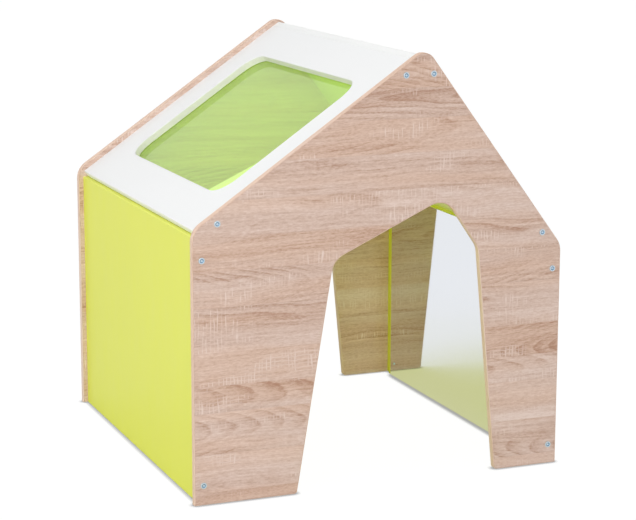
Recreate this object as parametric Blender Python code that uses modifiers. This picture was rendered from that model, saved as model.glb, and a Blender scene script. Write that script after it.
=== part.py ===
"""Sensory playhouse for toddlers, made of laminated boards.

Two gables with a house-shaped doorway carry two lime side walls and two white roof boards.
The ridge stands off centre, so one slope is long and shallow and the other short and steep.
The long slope has a window over a tinted acrylic pane, and the wall below the short slope
carries a mirror panel on its inner side. Bolts through the gables draw the boards together, and
dowels keep them in line. Nothing on it moves.

Metres, +Z up. X runs along the gables, Y from the front gable to the rear one, and the
origin is on the floor under the middle of the house.
"""

import math
from dataclasses import dataclass

import bmesh
import bpy
from mathutils import Matrix, Vector

# The house, outside
HOUSE_WIDTH = 0.950
BOARD_LENGTH = 0.946  # of the walls and roof boards, from gable to gable
RIDGE_HEIGHT = 1.050  # where the two slopes meet before the peak is rounded
RIDGE_FROM_LEFT = 0.582
LEFT_EAVE_HEIGHT = 0.652
RIGHT_EAVE_HEIGHT = 0.556
EAVE_RADIUS = 0.050
PEAK_RADIUS = 0.032

# The doorway, measured from the gable's left edge and from the floor
DOOR_LEFT_FOOT = 0.256
DOOR_LEFT_SHOULDER = 0.349
DOOR_LEFT_SHOULDER_HEIGHT = 0.560
DOOR_PEAK = 0.637
DOOR_PEAK_HEIGHT = 0.692
DOOR_RIGHT_SHOULDER = 0.725
DOOR_RIGHT_SHOULDER_HEIGHT = 0.564
DOOR_RIGHT_FOOT = 0.780
DOOR_RADIUS = 0.050
FOOT_RADIUS = 0.008

# Boards and their edging
BOARD = 0.018
EDGING = 0.002
EDGING_ROUND = 0.0015
GAP = 0.0003  # between pieces that touch

# Walls and roof boards inside the gables' outline
PANEL_INSET = 0.013
ROOF_SETBACK = 0.010  # from the eave's corner to a roof board's lower end, along the slope

# Roof window
WINDOW_END_MARGIN = 0.119  # from the board's ends
WINDOW_MARGIN = 0.114  # from its lower and upper edges
WINDOW_RADIUS = 0.060
PANE_THICKNESS = 0.004
PANE_OVERLAP = 0.025
PANE_CORNER = 0.012
PANE_SCREWS_ALONG = 3
PANE_SCREWS_UP = 3

# Mirror, a sheet on a backing board that is screwed to the wall
BACKING = 0.012
BACKING_END_MARGIN = 0.038
BACKING_TOP_MARGIN = 0.001
BACKING_FOOT_MARGIN = 0.0045
MIRROR = 0.003
MIRROR_END_BORDER = 0.018  # of backing board that shows beside the sheet
MIRROR_BORDER = 0.001  # below and above it
PANEL_BEVEL = 0.0006
MIRROR_SCREW_END = 0.026  # from the sheet's ends
MIRROR_SCREW_RISE = 0.038  # from its lower and upper edges

# Bolts and dowels in the board ends
FIXING_SETBACK = 0.048  # from a board's edge to the bolt
DOWEL_SPACING = 0.064  # from a bolt to its dowel
BOLT_DIAMETER = 0.006
BOLT_LENGTH = 0.050
BOLT_HEAD_DIAMETER = 0.0152
BOLT_HEAD_HEIGHT = 0.0024
BOLT_HEAD_CHAMFER = 0.0007
BOLT_SOCKET = 0.005  # across flats
BOLT_SOCKET_DEPTH = 0.0020
BOLT_TIP = 0.0008
DOWEL_DIAMETER = 0.008
DOWEL_IN_GABLE = 0.010
DOWEL_ROOT = 0.004  # of the dowel inside the board that carries it
HOLE_SPARE_DEPTH = 0.0015

# Pan head screws of the pane and of the mirror
SCREW_DIAMETER = 0.0035
PANE_SCREW_LENGTH = 0.012
MIRROR_SCREW_LENGTH = 0.026
SCREW_HEAD_DIAMETER = 0.007
SCREW_HEAD_HEIGHT = 0.0024
SCREW_RIM = 0.3  # share of the head's height that stands straight
SCREW_CROWN_REACH = 0.6  # share of the head's radius at which its crown flattens
SCREW_CROWN_HEIGHT = 0.85  # share of the head's height there
SCREW_TIP = 0.002

# Facets
ARC_STEPS = 7
SMALL_ARC_STEPS = 4
SMALL_ARC = 0.015  # the largest radius that takes the few steps
EDGING_ARC_STEPS = 2
BOLT_STEPS = 12
HOLE_STEPS = 10
SMALL_HOLE_STEPS = 8
OVERSHOOT = 0.002  # of a cutter past the wall it cuts
LEAST_RADIUS = 0.0005  # of a corner that an offset shrinks
STRAIGHT = 1e-6  # the sine of a turn below which an outline runs straight on
WELD = 0.00001  # points closer than this are one point
SHARP_ANGLE = math.radians(35)  # edges that turn more than this are shaded sharp

UPRIGHT = Matrix.Rotation(math.radians(90), 4, "X")  # a flat outline's Y becomes Z
FRONT = -1
REAR = 1

parts = None
cutters = None


def start_scene():
    """Remove what the scene holds and make the two collections."""
    global parts, cutters
    for leftover in list(bpy.data.objects):
        bpy.data.objects.remove(leftover)
    parts = bpy.data.collections.new("sensory_playhouse")
    cutters = bpy.data.collections.new("cutters")
    bpy.context.scene.collection.children.link(parts)
    bpy.context.scene.collection.children.link(cutters)


def finish_material(name, colour, roughness, metallic=0.0, transmission=0.0):
    """A Principled material of one finish."""
    made = bpy.data.materials.new(name)
    made.use_nodes = True
    shader = made.node_tree.nodes["Principled BSDF"]
    shader.inputs["Base Color"].default_value = (*colour, 1.0)
    shader.inputs["Roughness"].default_value = roughness
    shader.inputs["Metallic"].default_value = metallic
    shader.inputs["Transmission Weight"].default_value = transmission
    made.diffuse_color = (*colour, 1.0)
    return made


FINISHES = {
    "oak": ((0.66, 0.48, 0.38), 0.45, 0.0, 0.0),
    "oak_edging": ((0.76, 0.60, 0.49), 0.40, 0.0, 0.0),
    "lime": ((0.73, 0.78, 0.16), 0.35, 0.0, 0.0),
    "lime_edging": ((0.78, 0.82, 0.18), 0.30, 0.0, 0.0),
    "white": ((0.86, 0.87, 0.86), 0.40, 0.0, 0.0),
    "white_edging": ((0.88, 0.89, 0.88), 0.35, 0.0, 0.0),
    "acrylic": ((0.50, 0.90, 0.20), 0.08, 0.0, 0.8),
    "mirror": ((0.90, 0.91, 0.92), 0.03, 1.0, 0.0),
    "zinc": ((0.70, 0.74, 0.78), 0.30, 1.0, 0.0),
}


def add_part(name, mesh, finish, parent=None, matrix=None):
    """Link a mesh as a named part with a material of its own."""
    part = bpy.data.objects.new(name, mesh)
    parts.objects.link(part)
    part.parent = parent
    if matrix is not None:
        part.matrix_local = matrix
    mesh.materials.clear()
    mesh.materials.append(finish_material(name + "_finish", *FINISHES[finish]))
    return part


def shade_round(mesh):
    """Smooth shading with the sharp edges kept."""
    mesh.shade_smooth()
    mesh.set_sharp_from_angle(angle=SHARP_ANGLE)


def evaluated_mesh(thing, name):
    """The object as the viewport shows it, welded into one mesh. The object goes."""
    bpy.context.view_layer.update()
    shown = thing.evaluated_get(bpy.context.evaluated_depsgraph_get())
    mesh = bpy.data.meshes.new_from_object(shown)
    mesh.name = name
    welded = bmesh.new()
    welded.from_mesh(mesh)
    bmesh.ops.remove_doubles(welded, verts=welded.verts, dist=WELD)
    bmesh.ops.recalc_face_normals(welded, faces=welded.faces)
    welded.to_mesh(mesh)
    welded.free()
    bpy.data.objects.remove(thing)
    return mesh


def flat_curve(name, loops, closed=True):
    """A 2D curve object with one poly spline for each loop."""
    data = bpy.data.curves.new(name, "CURVE")
    data.dimensions = "2D"
    for loop in loops:
        spline = data.splines.new("POLY")
        spline.points.add(len(loop) - 1)
        for point, place in zip(spline.points, loop):
            point.co = (place.x, place.y, 0.0, 1.0)
        spline.use_cyclic_u = closed
    curve = bpy.data.objects.new(name, data)
    parts.objects.link(curve)
    return curve


def plate(name, loops, thickness):
    """A board cut to the outer loop, with the other loops as openings. It lies in XY."""
    curve = flat_curve(name, loops)
    curve.data.fill_mode = "BOTH"
    curve.data.extrude = thickness / 2
    return evaluated_mesh(curve, name)


def turned(name, profile, steps):
    """A profile of (radius, height) pairs, from the top down, turned about Z."""
    outline = bpy.data.meshes.new(name)
    outline.from_pydata([(r, 0, z) for r, z in profile], [(i, i + 1) for i in range(len(profile) - 1)], [])
    blank = bpy.data.objects.new(name, outline)
    parts.objects.link(blank)
    screw = blank.modifiers.new("turn", "SCREW")
    screw.steps = steps
    screw.render_steps = steps
    screw.use_merge_vertices = True
    screw.merge_threshold = WELD
    mesh = evaluated_mesh(blank, name)
    shade_round(mesh)
    return mesh


def box_mesh(name, size, centre):
    """A box of that size about a centre."""
    made = bmesh.new()
    bmesh.ops.create_cube(made, size=1.0)
    bmesh.ops.scale(made, vec=size, verts=made.verts)
    bmesh.ops.translate(made, vec=centre, verts=made.verts)
    mesh = bpy.data.meshes.new(name)
    made.to_mesh(mesh)
    made.free()
    return mesh


@dataclass(frozen=True)
class Corner:
    """A corner of an outline in the XZ plane, with its rounding."""

    x: float
    y: float
    radius: float = 0.0

    @property
    def place(self):
        """The corner as a 2D vector."""
        return Vector((self.x, self.y))


def left_of(direction):
    """The unit vector that points to the left of a direction."""
    return Vector((-direction.y, direction.x)).normalized()


def crossing(a, a_way, b, b_way):
    """Where the line through a along a_way meets the line through b along b_way."""
    share = (b - a).cross(b_way) / a_way.cross(b_way)
    return a + a_way * share


def offset_corners(corners, distance, closed=True):
    """The outline moved to its left by a distance. An outline runs with the solid on its left."""
    count = len(corners)
    ways = [(corners[(i + 1) % count].place - c.place).normalized() for i, c in enumerate(corners)]
    moved = []
    for i, corner in enumerate(corners):
        before = ways[i - 1]
        after = ways[i]
        if not closed and i == 0:
            before = after
        if not closed and i == count - 1:
            after = before
        turn = before.cross(after)
        if abs(turn) < STRAIGHT:
            place = corner.place + left_of(after) * distance
        else:
            start = corner.place + left_of(before) * distance
            end = corner.place + left_of(after) * distance
            place = crossing(start, before, end, after)
        radius = corner.radius
        if radius > 0:
            radius = max(radius - math.copysign(distance, turn), LEAST_RADIUS)
        moved.append(Corner(place.x, place.y, radius))
    return moved


def rounded(corners, closed=True):
    """The points of an outline with its corners drawn as arcs."""
    count = len(corners)
    points = []
    for i, corner in enumerate(corners):
        if corner.radius == 0 or (not closed and i in (0, count - 1)):
            points.append(corner.place)
            continue
        before = (corner.place - corners[i - 1].place).normalized()
        after = (corners[(i + 1) % count].place - corner.place).normalized()
        turn = math.atan2(before.cross(after), before.dot(after))
        reach = corner.radius * math.tan(abs(turn) / 2)
        side = left_of(before) * math.copysign(corner.radius, turn)
        centre = corner.place - before * reach + side
        steps = ARC_STEPS if corner.radius > SMALL_ARC else SMALL_ARC_STEPS
        for step in range(steps + 1):
            points.append(centre + Matrix.Rotation(turn * step / steps, 2) @ -side)
    return points


def rectangle(low_x, low_y, high_x, high_y, radius=0.0):
    """The corners of a rectangle, run with the inside on the left."""
    return [
        Corner(low_x, low_y, radius),
        Corner(high_x, low_y, radius),
        Corner(high_x, high_y, radius),
        Corner(low_x, high_y, radius),
    ]


def edging_profile():
    """The edging's section: X through its thickness, outwards, and Y across the board."""
    half = EDGING / 2
    side = BOARD / 2
    section = [
        Corner(-half, side),
        Corner(-half, -side),
        Corner(half, -side, EDGING_ROUND),
        Corner(half, side, EDGING_ROUND),
    ]
    points = []
    for i, corner in enumerate(section):
        if corner.radius == 0:
            points.append(corner.place)
            continue
        before = (corner.place - section[i - 1].place).normalized()
        side_way = left_of(before) * corner.radius
        centre = corner.place - before * corner.radius + side_way
        for step in range(EDGING_ARC_STEPS + 1):
            angle = math.radians(90) * step / EDGING_ARC_STEPS
            points.append(centre + Matrix.Rotation(angle, 2) @ -side_way)
    points.reverse()
    return points


def add_edging(name, run, finish, matrix, parent=None, closed=False):
    """A strip of edging along a run of corners, which lie on its outer face."""
    section = flat_curve(name + "_section", [edging_profile()])
    path = flat_curve(name, [rounded(offset_corners(run, EDGING / 2, closed), closed)], closed)
    path.data.bevel_mode = "OBJECT"
    path.data.bevel_object = section
    path.data.use_fill_caps = not closed
    mesh = evaluated_mesh(path, name)
    bpy.data.objects.remove(section)
    mesh.transform(matrix)
    shade_round(mesh)
    return add_part(name, mesh, finish, parent)


def combine(part, operation, rods, steps, parent=None):
    """Add rods to a part, or cut them from it. A rod is (start, way, radius, length)."""
    joined = bmesh.new()
    for start, way, radius, length in rods:
        turn = way.to_track_quat("Z", "Y").to_matrix().to_4x4()
        bmesh.ops.create_cone(
            joined,
            cap_ends=True,
            segments=steps,
            radius1=radius,
            radius2=radius,
            depth=length,
            matrix=Matrix.Translation(start + way * length / 2) @ turn,
        )
    mesh = bpy.data.meshes.new(f"{part.name}_{operation.lower()}")
    joined.to_mesh(mesh)
    joined.free()
    tool = bpy.data.objects.new(mesh.name, mesh)
    cutters.objects.link(tool)
    tool.parent = parent
    tool.hide_render = True
    tool.display_type = "WIRE"
    boolean = part.modifiers.new(tool.name, "BOOLEAN")
    boolean.operation = operation
    boolean.object = tool


def drill(part, holes, steps, parent=None):
    """Cut holes into a part. A hole is (mouth, inward way, radius, depth)."""
    rods = [(mouth - way * OVERSHOOT, way, radius, depth + OVERSHOOT) for mouth, way, radius, depth in holes]
    combine(part, "DIFFERENCE", rods, steps, parent)


# The gable's outline and its corners


def from_left(distance):
    """A distance from the gable's left edge as a world X."""
    return distance - HOUSE_WIDTH / 2


LEFT_EAVE = Corner(from_left(0.0), LEFT_EAVE_HEIGHT, EAVE_RADIUS)
RIGHT_EAVE = Corner(from_left(HOUSE_WIDTH), RIGHT_EAVE_HEIGHT, EAVE_RADIUS)
RIDGE = Corner(from_left(RIDGE_FROM_LEFT), RIDGE_HEIGHT, PEAK_RADIUS)
LEFT_TOE = Corner(from_left(0.0), 0.0)
RIGHT_TOE = Corner(from_left(HOUSE_WIDTH), 0.0)
LEFT_HEEL = Corner(from_left(DOOR_LEFT_FOOT), 0.0, FOOT_RADIUS)
RIGHT_HEEL = Corner(from_left(DOOR_RIGHT_FOOT), 0.0, FOOT_RADIUS)
DOOR_TOP = [
    Corner(from_left(DOOR_LEFT_SHOULDER), DOOR_LEFT_SHOULDER_HEIGHT, DOOR_RADIUS),
    Corner(from_left(DOOR_PEAK), DOOR_PEAK_HEIGHT, DOOR_RADIUS),
    Corner(from_left(DOOR_RIGHT_SHOULDER), DOOR_RIGHT_SHOULDER_HEIGHT, DOOR_RADIUS),
]
GABLE_OUTLINE = [LEFT_TOE, LEFT_HEEL, *DOOR_TOP, RIGHT_HEEL, RIGHT_TOE, RIGHT_EAVE, RIDGE, LEFT_EAVE]


def up_jamb(heel, shoulder, height):
    """The point of a door jamb at a height."""
    way = shoulder.place - heel.place
    place = heel.place + way * (height / way.y)
    return Corner(place.x, place.y)


# Walls and roof boards, seen along Y as lines from their lower end upwards


@dataclass(frozen=True)
class Board:
    """A board between the gables. Local Z runs up it, local X through it, local Y along it."""

    name: str
    foot: Vector  # its lower end at mid-thickness, as world X and Z
    tilt: float  # its turn about Y from upright
    width: float  # from its lower end to its upper end, edging included
    outward: int  # the way its outer face looks along local X
    finish: str

    def place(self, height):
        """World X and Z of the board's middle at a height along it."""
        return self.foot + Vector((math.sin(self.tilt), math.cos(self.tilt))) * height

    @property
    def bolt_heights(self):
        """Where the bolts sit, measured up the board."""
        return [FIXING_SETBACK, self.width - FIXING_SETBACK]

    @property
    def dowel_heights(self):
        """Where the dowels sit, measured up the board."""
        return [FIXING_SETBACK + DOWEL_SPACING, self.width - FIXING_SETBACK - DOWEL_SPACING]


def reach_to(eave, up, inward, depth, line, line_up):
    """How far up the slope a board's line at a depth below the eave reaches a line across it."""
    return (crossing(eave + inward * depth, up, line, line_up) - eave).dot(up)


def make_boards():
    """The four boards, placed inside the gables' outline."""
    left_eave = LEFT_EAVE.place
    right_eave = RIGHT_EAVE.place
    left_up = (RIDGE.place - left_eave).normalized()
    right_up = (RIDGE.place - right_eave).normalized()
    left_in = -left_of(left_up)
    right_in = left_of(right_up)
    outer = PANEL_INSET
    middle = PANEL_INSET + BOARD / 2
    inner = PANEL_INSET + BOARD

    # The right roof board runs up to the line of the left one's outer face. The left one butts
    # against the right one's inner face with whichever of its own faces meets it first.
    right_reach = reach_to(right_eave, right_up, right_in, outer, left_eave + left_in * outer, left_up)
    right_under = right_eave + right_in * (inner + GAP)
    left_reach = min(
        reach_to(left_eave, left_up, left_in, depth, right_under, right_up) for depth in (outer, inner)
    )
    left_corner = left_eave + left_up * ROOF_SETBACK + left_in * inner
    right_corner = right_eave + right_up * ROOF_SETBACK + right_in * inner
    return {
        "left_wall": Board(
            "left_wall", Vector((from_left(middle), 0.0)), 0.0, left_corner.y - GAP, -1, "lime"
        ),
        "right_wall": Board(
            "right_wall", Vector((-from_left(middle), 0.0)), 0.0, right_corner.y - GAP, 1, "lime"
        ),
        "left_roof": Board(
            "left_roof",
            left_eave + left_up * ROOF_SETBACK + left_in * middle,
            math.atan2(left_up.x, left_up.y),
            left_reach - ROOF_SETBACK,
            -1,
            "white",
        ),
        "right_roof": Board(
            "right_roof",
            right_eave + right_up * ROOF_SETBACK + right_in * middle,
            math.atan2(right_up.x, right_up.y),
            right_reach - ROOF_SETBACK,
            1,
            "white",
        ),
    }


# Fasteners


def bolt_mesh():
    """A connector bolt with a flat hexagon-socket head. Its head stands on z = 0."""
    head = BOLT_HEAD_DIAMETER / 2
    shank = BOLT_DIAMETER / 2
    mesh = turned(
        "bolt",
        [
            (0.0, BOLT_HEAD_HEIGHT),
            (head - BOLT_HEAD_CHAMFER, BOLT_HEAD_HEIGHT),
            (head, BOLT_HEAD_HEIGHT - BOLT_HEAD_CHAMFER),
            (head, 0.0),
            (shank, 0.0),
            (shank, BOLT_TIP - BOLT_LENGTH),
            (shank - BOLT_TIP, -BOLT_LENGTH),
            (0.0, -BOLT_LENGTH),
        ],
        BOLT_STEPS,
    )
    bolt = bpy.data.objects.new("bolt", mesh)
    parts.objects.link(bolt)
    corner_radius = BOLT_SOCKET / 2 / math.cos(math.radians(30))
    top = Vector((0.0, 0.0, BOLT_HEAD_HEIGHT))
    drill(bolt, [(top, Vector((0.0, 0.0, -1.0)), corner_radius, BOLT_SOCKET_DEPTH)], 6)
    return evaluated_mesh(bolt, "bolt")


def screw_mesh(length):
    """A pan head screw of that length. Its head stands on z = 0."""
    head = SCREW_HEAD_DIAMETER / 2
    shank = SCREW_DIAMETER / 2
    return turned(
        "screw",
        [
            (0.0, SCREW_HEAD_HEIGHT),
            (head * SCREW_CROWN_REACH, SCREW_HEAD_HEIGHT * SCREW_CROWN_HEIGHT),
            (head, SCREW_HEAD_HEIGHT * SCREW_RIM),
            (head, 0.0),
            (shank, 0.0),
            (shank, SCREW_TIP - length),
            (0.0, -length),
        ],
        HOLE_STEPS,
    )


def add_bolts(board, frame, template):
    """The bolts through both gables into one board, each a piece of its own."""
    seat = BOARD_LENGTH / 2 + GAP + BOARD + GAP
    for end, end_name in ((FRONT, "front"), (REAR, "rear")):
        turn = Matrix.Rotation(math.radians(-90 * end), 4, "X")
        for height, level in zip(board.bolt_heights, ("lower", "upper")):
            place = Matrix.Translation((0.0, end * seat, height)) @ turn
            add_part(f"{board.name}_{end_name}_{level}_bolt", template.copy(), "zinc", frame, place)


def join_ends(board, core, frame):
    """The bolt bores in a board's ends, and the dowels that stand out of them."""
    half = BOARD_LENGTH / 2
    bore = BOLT_LENGTH - BOARD - 2 * GAP + HOLE_SPARE_DEPTH
    bores = []
    dowels = []
    for end in (FRONT, REAR):
        outward = Vector((0.0, end, 0.0))
        for height in board.bolt_heights:
            mouth = Vector((0.0, end * half, height))
            bores.append((mouth, -outward, BOLT_DIAMETER / 2 + GAP, bore))
        for height in board.dowel_heights:
            root = Vector((0.0, end * (half - DOWEL_ROOT), height))
            reach = DOWEL_ROOT + GAP + DOWEL_IN_GABLE
            dowels.append((root, outward, DOWEL_DIAMETER / 2, reach))
    combine(core, "UNION", dowels, HOLE_STEPS, frame)
    drill(core, bores, HOLE_STEPS, frame)


def add_board(board, bolt, openings=()):
    """A board's core with its dowels, the edging on its two long edges and its bolts."""
    frame = bpy.data.objects.new(board.name + "_frame", None)
    parts.objects.link(frame)
    frame.location = (board.foot.x, 0.0, board.foot.y)
    frame.rotation_euler.y = board.tilt
    bare = EDGING + GAP
    half = BOARD_LENGTH / 2
    outline = rectangle(-half, bare, half, board.width - bare)
    loops = [rounded(outline), *openings]
    # The plate lies in XY, and stands up with its length along Y and its width along Z
    lift = Matrix.Rotation(math.radians(90), 4, "Z") @ UPRIGHT
    mesh = plate(board.name, loops, BOARD)
    mesh.transform(lift)
    core = add_part(board.name, mesh, board.finish, frame)
    join_ends(board, core, frame)
    runs = {
        "lower": [Corner(-half, 0.0), Corner(half, 0.0)],
        "upper": [Corner(half, board.width), Corner(-half, board.width)],
    }
    for level, run in runs.items():
        add_edging(f"{board.name}_{level}_edging", run, board.finish + "_edging", lift, frame)
    add_bolts(board, frame, bolt)
    return core, frame, lift


# Sub-assemblies


def gable_holes(boards, end):
    """Bolt holes through a gable and dowel holes in its inner face, in world places."""
    inner = end * (BOARD_LENGTH / 2 + GAP)
    way = Vector((0.0, end, 0.0))
    holes = []
    for board in boards.values():
        for height in board.bolt_heights:
            spot = board.place(height)
            mouth = Vector((spot.x, inner, spot.y))
            holes.append((mouth, way, BOLT_DIAMETER / 2 + GAP, BOARD + OVERSHOOT))
        for height in board.dowel_heights:
            spot = board.place(height)
            mouth = Vector((spot.x, inner, spot.y))
            holes.append((mouth, way, DOWEL_DIAMETER / 2 + GAP, DOWEL_IN_GABLE + HOLE_SPARE_DEPTH))
    return holes


def add_gable(name, end, boards):
    """A gable board with its outer edging, its door edging and the edging under its feet."""
    middle = Matrix.Translation((0.0, end * (BOARD_LENGTH / 2 + GAP + BOARD / 2), 0.0))
    mesh = plate(name + "_gable", [rounded(offset_corners(GABLE_OUTLINE, EDGING + GAP))], BOARD)
    mesh.transform(middle @ UPRIGHT)
    core = add_part(name + "_gable", mesh, "oak")
    drill(core, gable_holes(boards, end), HOLE_STEPS)

    seam = EDGING + GAP
    turn_up = FOOT_RADIUS + EDGING
    runs = {
        "gable_edging": [
            Corner(RIGHT_TOE.x, seam),
            RIGHT_EAVE,
            RIDGE,
            LEFT_EAVE,
            Corner(LEFT_TOE.x, seam),
        ],
        "door_edging": [
            up_jamb(LEFT_HEEL, DOOR_TOP[0], turn_up + GAP),
            *DOOR_TOP,
            up_jamb(RIGHT_HEEL, DOOR_TOP[2], turn_up + GAP),
        ],
        "left_foot_edging": [LEFT_TOE, LEFT_HEEL, up_jamb(LEFT_HEEL, DOOR_TOP[0], turn_up)],
        "right_foot_edging": [up_jamb(RIGHT_HEEL, DOOR_TOP[2], turn_up), RIGHT_HEEL, RIGHT_TOE],
    }
    for kind, run in runs.items():
        add_edging(f"{name}_{kind}", run, "oak_edging", middle @ UPRIGHT)


def window_corners(board, offset):
    """The window's outline in a roof board, moved outwards by an offset."""
    half = BOARD_LENGTH / 2 - WINDOW_END_MARGIN + offset
    low = WINDOW_MARGIN - offset
    return rectangle(-half, low, half, board.width - low, WINDOW_RADIUS + offset)


def pane_screw_places(board):
    """Where the screws sit round the pane, as local Y and Z."""
    reach = PANE_OVERLAP / 2
    half = BOARD_LENGTH / 2 - WINDOW_END_MARGIN + reach
    low = WINDOW_MARGIN - reach
    high = board.width - low
    places = []
    for i in range(PANE_SCREWS_ALONG):
        along = half * (2 * i / (PANE_SCREWS_ALONG - 1) - 1) * (1 - WINDOW_RADIUS / half)
        places += [(along, low), (along, high)]
    for i in range(1, PANE_SCREWS_UP):
        up = low + (high - low) * i / PANE_SCREWS_UP
        places += [(-half, up), (half, up)]
    return places


def screw_down(name, spots, face, pointing, layers, base, length, frame):
    """Drive screws through layers of board into a base, all seen in a board's own frame.

    A spot is local Y and Z. The heads stand on the local X face, and the shanks run along X the
    way pointing says, 1 or -1. A layer is a part and its thickness.
    """
    way = Vector((pointing, 0.0, 0.0))
    turn = (-way).to_track_quat("Z", "Y").to_matrix().to_4x4()
    screw = screw_mesh(length)
    hole = SCREW_DIAMETER / 2 + GAP
    depth = 0.0
    for part, thickness in layers:
        mouths = [Vector((face + pointing * (GAP + depth), along, up)) for along, up in spots]
        drill(part, [(mouth, way, hole, thickness + OVERSHOOT) for mouth in mouths], SMALL_HOLE_STEPS, frame)
        depth += thickness + GAP
    mouths = [Vector((face + pointing * (GAP + depth), along, up)) for along, up in spots]
    pilot = length - depth - GAP + HOLE_SPARE_DEPTH
    drill(base, [(mouth, way, hole, pilot) for mouth in mouths], SMALL_HOLE_STEPS, frame)
    for number, (along, up) in enumerate(spots, start=1):
        place = Matrix.Translation((face, along, up)) @ turn
        add_part(f"{name}_{number}", screw.copy(), "zinc", frame, place)


def add_roof_window(board, core, frame, lift):
    """The edging that lines the cut-out, the tinted pane below it and the pane's screws."""
    window = window_corners(board, 0.0)
    window.reverse()
    add_edging("window_edging", window, "white_edging", lift, frame, closed=True)

    corners = window_corners(board, PANE_OVERLAP)
    corners = [Corner(c.x, c.y, PANE_CORNER) for c in corners]
    pane = plate("window_pane", [rounded(corners)], PANE_THICKNESS)
    inward = -board.outward
    depth = BOARD / 2 + GAP + PANE_THICKNESS / 2
    pane.transform(Matrix.Translation((inward * depth, 0.0, 0.0)) @ lift)
    sheet = add_part("window_pane", pane, "acrylic", frame)

    head_face = inward * (depth + PANE_THICKNESS / 2 + GAP)
    spots = pane_screw_places(board)
    layers = [(sheet, PANE_THICKNESS)]
    screw_down("pane_screw", spots, head_face, board.outward, layers, core, PANE_SCREW_LENGTH, frame)


def bevelled_sheet(name, size, centre, finish, frame):
    """A flat sheet with broken edges."""
    sheet = add_part(name, box_mesh(name, size, centre), finish, frame)
    bevel = sheet.modifiers.new("broken_edge", "BEVEL")
    bevel.width = PANEL_BEVEL
    bevel.segments = 1
    return sheet


def add_mirror(board, core, frame):
    """The mirror on the wall's inner face: a backing board, the sheet and four screws."""
    inward = -board.outward
    length = BOARD_LENGTH - 2 * BACKING_END_MARGIN
    height = board.width - BACKING_FOOT_MARGIN - BACKING_TOP_MARGIN
    middle = BACKING_FOOT_MARGIN + height / 2
    backing_depth = BOARD / 2 + GAP + BACKING / 2
    mirror_depth = backing_depth + BACKING / 2 + GAP + MIRROR / 2
    mirror_length = length - 2 * MIRROR_END_BORDER
    mirror_height = height - 2 * MIRROR_BORDER
    backing = bevelled_sheet(
        "mirror_backing", (BACKING, length, height), (inward * backing_depth, 0.0, middle), "lime", frame
    )
    mirror = bevelled_sheet(
        "mirror_sheet",
        (MIRROR, mirror_length, mirror_height),
        (inward * mirror_depth, 0.0, middle),
        "mirror",
        frame,
    )
    end = mirror_length / 2 - MIRROR_SCREW_END
    rise = mirror_height / 2 - MIRROR_SCREW_RISE
    spots = [(along, middle + up) for along in (-end, end) for up in (-rise, rise)]
    head_face = inward * (mirror_depth + MIRROR / 2 + GAP)
    layers = [(mirror, MIRROR), (backing, BACKING)]
    screw_down("mirror_screw", spots, head_face, board.outward, layers, core, MIRROR_SCREW_LENGTH, frame)


def build():
    """Make the whole playhouse."""
    start_scene()
    boards = make_boards()
    bolt = bolt_mesh()
    add_gable("front", FRONT, boards)
    add_gable("rear", REAR, boards)
    add_board(boards["left_wall"], bolt)
    wall, wall_frame, _ = add_board(boards["right_wall"], bolt)
    add_mirror(boards["right_wall"], wall, wall_frame)
    left_roof = boards["left_roof"]
    cut_out = rounded(window_corners(left_roof, EDGING + GAP))
    core, roof_frame, lift = add_board(left_roof, bolt, [cut_out])
    add_roof_window(left_roof, core, roof_frame, lift)
    add_board(boards["right_roof"], bolt)


build()
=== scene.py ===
"""Looks for the sensory playhouse: finishes, fine fasteners, studio and camera.

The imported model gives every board, strip and sheet its shape and place. This script dresses
them with procedural finishes, puts finer bolts, screws and straight strips in the place of the
plain ones, and sets the studio and the camera at the photograph's viewing angle. Lengths are
in metres, in the model's own frame: X along the gables, Y from the front gable to the rear
one, Z up.
"""

import logging
import math
from dataclasses import dataclass, field, replace
from enum import Enum
from functools import reduce
from typing import Callable, Iterable

import bmesh
import bpy
from mathutils import Matrix, Vector

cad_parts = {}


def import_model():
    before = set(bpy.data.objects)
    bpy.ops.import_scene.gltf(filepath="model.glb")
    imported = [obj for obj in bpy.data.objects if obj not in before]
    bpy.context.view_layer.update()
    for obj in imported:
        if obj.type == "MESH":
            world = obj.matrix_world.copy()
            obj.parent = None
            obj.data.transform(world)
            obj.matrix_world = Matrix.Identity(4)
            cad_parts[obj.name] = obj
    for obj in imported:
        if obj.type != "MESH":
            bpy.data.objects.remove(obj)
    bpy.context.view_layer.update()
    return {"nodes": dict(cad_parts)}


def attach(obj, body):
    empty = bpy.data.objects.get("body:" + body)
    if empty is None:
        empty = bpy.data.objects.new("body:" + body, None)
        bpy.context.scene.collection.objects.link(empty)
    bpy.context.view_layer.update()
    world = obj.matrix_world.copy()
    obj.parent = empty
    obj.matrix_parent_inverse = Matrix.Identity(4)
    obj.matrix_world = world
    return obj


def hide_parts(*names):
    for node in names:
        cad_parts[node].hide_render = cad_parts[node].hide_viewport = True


log = logging.getLogger("playhouse")

Triple = tuple[float, float, float]
Colour = Triple
Pair = tuple[float, float]
Ring = list[Triple]
Socket = bpy.types.NodeSocket
Sockets = dict[str, Socket]
Value = Socket | float | Triple

FULL_TURN = 2.0 * math.pi
WHITE: Colour = (1.0, 1.0, 1.0)
# Edges stay sharp where their faces meet at a larger angle
SHARP_ANGLE = math.radians(28)
# Corners that agree to a micrometre are one corner
POINT_DIGITS = 6
# The largest Z in the normal of an upright board
UPRIGHT = 0.01
# The strength of every Bump node
RELIEF_STRENGTH = 0.5
# Keeps a divisor from nought
TINY = 1e-6


class Way(Enum):
    """Which way a gable looks, as the sign of its outward Y."""

    FRONT = -1
    REAR = 1


class Level(Enum):
    """The two ends of a wall or roof board."""

    LOWER = "lower"
    UPPER = "upper"


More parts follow.
